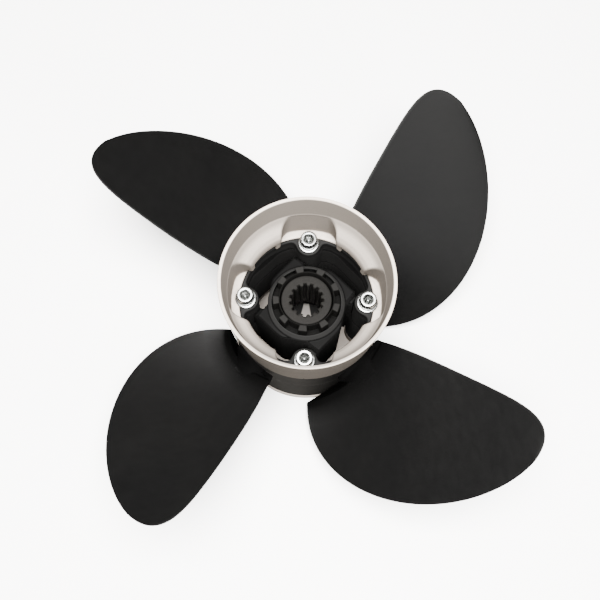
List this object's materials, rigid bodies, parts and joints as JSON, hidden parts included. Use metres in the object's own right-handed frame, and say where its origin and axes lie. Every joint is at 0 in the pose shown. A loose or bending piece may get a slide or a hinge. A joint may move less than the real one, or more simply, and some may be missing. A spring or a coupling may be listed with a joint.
{
  "type": "outboard motor propeller",
  "caption": "Right-hand outboard propeller with separate clamped blades on a black hub, a light grey rear exhaust ring, socket-head clamp screws and a splined cushioned drive sleeve.",
  "frame": {"origin": "on the shaft axis, in the plane of the front hub face that the propeller stands on", "axes": "+Z along the shaft axis towards the rear rim (aft), +X and +Y through the clamp screws, the blades midway between them"},
  "size_m": [0.2628, 0.2628, 0.117],
  "materials": {
    "ring_paint": "satin warm light grey paint on cast aluminium",
    "hub_black": "semi-gloss black moulding",
    "blade_composite": "satin charcoal fibre-filled moulding",
    "zinc_steel": "bright zinc plate",
    "sleeve_metal": "dark grey glass-filled moulding",
    "bush_rubber": "dark grey moulded cushion",
    "bearing_plastic": "plain dark bearing plastic"
  },
  "bodies": {
    "hub": {"hub_front": "hub_black", "hub_rear": "hub_black", "front_ring": "ring_paint", "torsion_bush": "bush_rubber", "bush_retaining_ring": "zinc_steel", "root_thrust_rings": "bearing_plastic", "clamp_screws": "zinc_steel", "spring_washers": "zinc_steel", "flat_washers": "zinc_steel", "captive_nuts": "zinc_steel"},
    "ring": {"rear_ring": "ring_paint"},
    "blade_a": {"blade_1": "blade_composite", "root_pin_1": "zinc_steel"},
    "blade_b": {"blade_2": "blade_composite", "root_pin_2": "zinc_steel"},
    "blade_c": {"blade_3": "blade_composite", "root_pin_3": "zinc_steel"},
    "blade_d": {"blade_4": "blade_composite", "root_pin_4": "zinc_steel"},
    "sleeve": {"drive_sleeve": "sleeve_metal"}
  },
  "joints": [
    {"name": "ring_turn", "type": "hinge", "parent": "hub", "child": "ring", "pos_m": [0, 0, 0.071], "axis": [0, 0, 1], "range_deg": [-2, 2]},
    {"name": "pitch_a", "type": "hinge", "parent": "hub", "child": "blade_a", "pos_m": [0, 0, 0.0425], "axis": [0.7071, 0.7071, 0], "range_deg": [-3, 3]},
    {"name": "pitch_b", "type": "hinge", "parent": "hub", "child": "blade_b", "pos_m": [0, 0, 0.0425], "axis": [-0.7071, 0.7071, 0], "range_deg": [-3, 3]},
    {"name": "pitch_c", "type": "hinge", "parent": "hub", "child": "blade_c", "pos_m": [0, 0, 0.0425], "axis": [-0.7071, -0.7071, 0], "range_deg": [-3, 3]},
    {"name": "pitch_d", "type": "hinge", "parent": "hub", "child": "blade_d", "pos_m": [0, 0, 0.0425], "axis": [0.7071, -0.7071, 0], "range_deg": [-3, 3]},
    {"name": "sleeve_twist", "type": "hinge", "parent": "hub", "child": "sleeve", "pos_m": [0, 0, 0.04], "axis": [0, 0, 1], "range_deg": [-5, 5], "stiffness_Nm_per_rad": 600}
  ],
  "couplings": [
    {"joint": "pitch_a", "follows": "ring_turn", "ratio": -1.4947},
    {"joint": "pitch_b", "follows": "ring_turn", "ratio": -1.4947},
    {"joint": "pitch_c", "follows": "ring_turn", "ratio": -1.4947},
    {"joint": "pitch_d", "follows": "ring_turn", "ratio": -1.4947}
  ]
}
